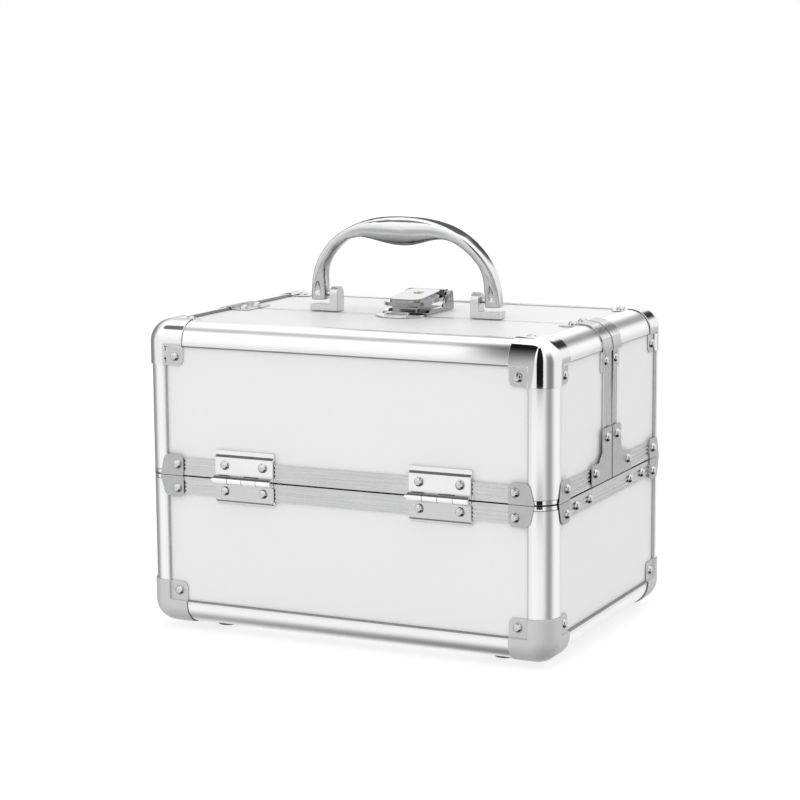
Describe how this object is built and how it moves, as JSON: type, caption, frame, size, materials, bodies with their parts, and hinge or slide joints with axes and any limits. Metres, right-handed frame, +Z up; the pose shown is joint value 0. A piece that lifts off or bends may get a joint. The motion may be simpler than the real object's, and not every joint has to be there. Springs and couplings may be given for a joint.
{
  "type": "two-lid medicine case",
  "caption": "Aluminium-edged medicine case with two outward-opening lids, cantilever trays, key latch and carrying handle.",
  "frame": {"origin": "under the middle of the case, on the surface that its feet stand on", "axes": "+Z up, the front lid at -Y, +X to the right of someone facing the front"},
  "size_m": [0.3022, 0.2246, 0.2818],
  "materials": {
    "laminate_boards": "satin silver-grey laminate on board",
    "edge_rail": "bright anodised extrusion",
    "ribbed_channel": "satin anodised extrusion with fine ribs",
    "corner_cap": "nickel-plated pressing",
    "hinge_leaf": "bright nickel plate",
    "tray": "moulded plastic",
    "linkage_steel": "zinc-plated strip",
    "handle_chrome": "polished chrome",
    "handle_bracket": "satin nickel casting",
    "latch_chrome": "polished chrome",
    "key_plug": "turned brass"
  },
  "bodies": {
    "root": {"tub_boards": "laminate_boards", "tub_base_frame": "edge_rail", "tub_rim_channel": "ribbed_channel", "tub_post_front_left": "edge_rail", "tub_corner_cap_front_left": "corner_cap", "front_hinge_tub_leaf_left": "hinge_leaf", "tub_post_front_right": "edge_rail", "tub_corner_cap_front_right": "corner_cap", "front_hinge_tub_leaf_right": "hinge_leaf", "tub_post_rear_left": "edge_rail", "tub_corner_cap_rear_left": "corner_cap", "rear_hinge_tub_leaf_left": "hinge_leaf", "tub_post_rear_right": "edge_rail", "tub_corner_cap_rear_right": "corner_cap", "rear_hinge_tub_leaf_right": "hinge_leaf"},
    "front_lid": {"front_lid_boards": "laminate_boards", "front_lid_edge_rail": "edge_rail", "front_lid_rim_channel": "ribbed_channel", "front_lid_seam_arch": "ribbed_channel", "front_lid_side_rail_left": "edge_rail", "front_lid_post_left": "edge_rail", "front_lid_corner_cap_left": "corner_cap", "front_hinge_lid_leaf_left": "hinge_leaf", "front_lid_side_rail_right": "edge_rail", "front_lid_post_right": "edge_rail", "front_lid_corner_cap_right": "corner_cap", "front_hinge_lid_leaf_right": "hinge_leaf", "lock_catch": "latch_chrome"},
    "front_lead_arms": {"front_tray_lead_arm_left": "linkage_steel", "front_tray_lead_arm_right": "linkage_steel"},
    "front_trail_arms": {"front_tray_trail_arm_left": "edge_rail", "front_tray_trail_arm_right": "edge_rail"},
    "front_tray": {"front_tray": "tray"},
    "front_lid_links": {"front_lid_link_left": "linkage_steel", "front_lid_link_right": "linkage_steel"},
    "rear_lid": {"rear_lid_boards": "laminate_boards", "rear_lid_edge_rail": "edge_rail", "rear_lid_rim_channel": "ribbed_channel", "rear_lid_seam_arch": "ribbed_channel", "rear_lid_side_rail_left": "edge_rail", "rear_lid_post_left": "edge_rail", "rear_lid_corner_cap_left": "corner_cap", "rear_hinge_lid_leaf_left": "hinge_leaf", "rear_lid_side_rail_right": "edge_rail", "rear_lid_post_right": "edge_rail", "rear_lid_corner_cap_right": "corner_cap", "rear_hinge_lid_leaf_right": "hinge_leaf", "handle_bracket_left": "handle_bracket", "handle_bracket_right": "handle_bracket", "lock_base": "latch_chrome"},
    "rear_lead_arms": {"rear_tray_lead_arm_left": "linkage_steel", "rear_tray_lead_arm_right": "linkage_steel"},
    "rear_trail_arms": {"rear_tray_trail_arm_left": "edge_rail", "rear_tray_trail_arm_right": "edge_rail"},
    "rear_tray": {"rear_tray": "tray"},
    "rear_lid_links": {"rear_lid_link_left": "linkage_steel", "rear_lid_link_right": "linkage_steel"},
    "handle": {"carrying_handle": "handle_chrome"},
    "lock_lever": {"lock_lever": "latch_chrome"},
    "key_plug": {"lock_key_plug": "key_plug"}
  },
  "joints": [
    {"name": "front_lid_hinge", "type": "hinge", "parent": "root", "child": "front_lid", "pos_m": [0, -0.1093, 0.109], "axis": [1, 0, 0], "range_deg": [0, 95]},
    {"name": "front_lead_arm_pivot", "type": "hinge", "parent": "root", "child": "front_lead_arms", "pos_m": [0, -0.0622, 0.1033], "axis": [1, 0, 0], "range_deg": [0, 82.01]},
    {"name": "front_trail_arm_pivot", "type": "hinge", "parent": "root", "child": "front_trail_arms", "pos_m": [0, -0.0387, 0.1033], "axis": [1, 0, 0], "range_deg": [0, 82.01]},
    {"name": "front_tray_pivot", "type": "hinge", "parent": "front_lead_arms", "child": "front_tray", "pos_m": [0, -0.0318, 0.1685], "axis": [1, 0, 0], "range_deg": [-82.01, 0]},
    {"name": "front_link_pivot", "type": "hinge", "parent": "front_lid", "child": "front_lid_links", "pos_m": [0, -0.03, 0.1185], "axis": [1, 0, 0], "range_deg": [-3.05, 0]},
    {"name": "rear_lid_hinge", "type": "hinge", "parent": "root", "child": "rear_lid", "pos_m": [0, 0.1093, 0.109], "axis": [-1, 0, 0], "range_deg": [0, 95]},
    {"name": "rear_lead_arm_pivot", "type": "hinge", "parent": "root", "child": "rear_lead_arms", "pos_m": [0, 0.0622, 0.1033], "axis": [-1, 0, 0], "range_deg": [0, 82.01]},
    {"name": "rear_trail_arm_pivot", "type": "hinge", "parent": "root", "child": "rear_trail_arms", "pos_m": [0, 0.0387, 0.1033], "axis": [-1, 0, 0], "range_deg": [0, 82.01]},
    {"name": "rear_tray_pivot", "type": "hinge", "parent": "rear_lead_arms", "child": "rear_tray", "pos_m": [0, 0.0318, 0.1685], "axis": [-1, 0, 0], "range_deg": [-82.01, 0]},
    {"name": "rear_link_pivot", "type": "hinge", "parent": "rear_lid", "child": "rear_lid_links", "pos_m": [0, 0.03, 0.1185], "axis": [-1, 0, 0], "range_deg": [-3.05, 0]},
    {"name": "handle_fold", "type": "hinge", "parent": "rear_lid", "child": "handle", "pos_m": [0, 0.0064, 0.225], "axis": [1, 0, 0], "range_deg": [-20, 84]},
    {"name": "lock_lever_lift", "type": "hinge", "parent": "rear_lid", "child": "lock_lever", "pos_m": [-0.005, 0.0445, 0.2233], "axis": [-1, 0, 0], "range_deg": [0, 100]},
    {"name": "key_turn", "type": "hinge", "parent": "lock_lever", "child": "key_plug", "pos_m": [-0.005, 0.027, 0.2258], "axis": [0, 0, 1], "range_deg": [0, 90]}
  ],
  "couplings": [
    {"joint": "front_lead_arm_pivot", "follows": "front_lid_hinge", "ratio": 0.86316},
    {"joint": "front_trail_arm_pivot", "follows": "front_lid_hinge", "ratio": 0.86316},
    {"joint": "front_tray_pivot", "follows": "front_lid_hinge", "ratio": -0.86316},
    {"joint": "front_link_pivot", "follows": "front_lid_hinge", "ratio": -0.032},
    {"joint": "rear_lead_arm_pivot", "follows": "rear_lid_hinge", "ratio": 0.86316},
    {"joint": "rear_trail_arm_pivot", "follows": "rear_lid_hinge", "ratio": 0.86316},
    {"joint": "rear_tray_pivot", "follows": "rear_lid_hinge", "ratio": -0.86316},
    {"joint": "rear_link_pivot", "follows": "rear_lid_hinge", "ratio": -0.032}
  ]
}
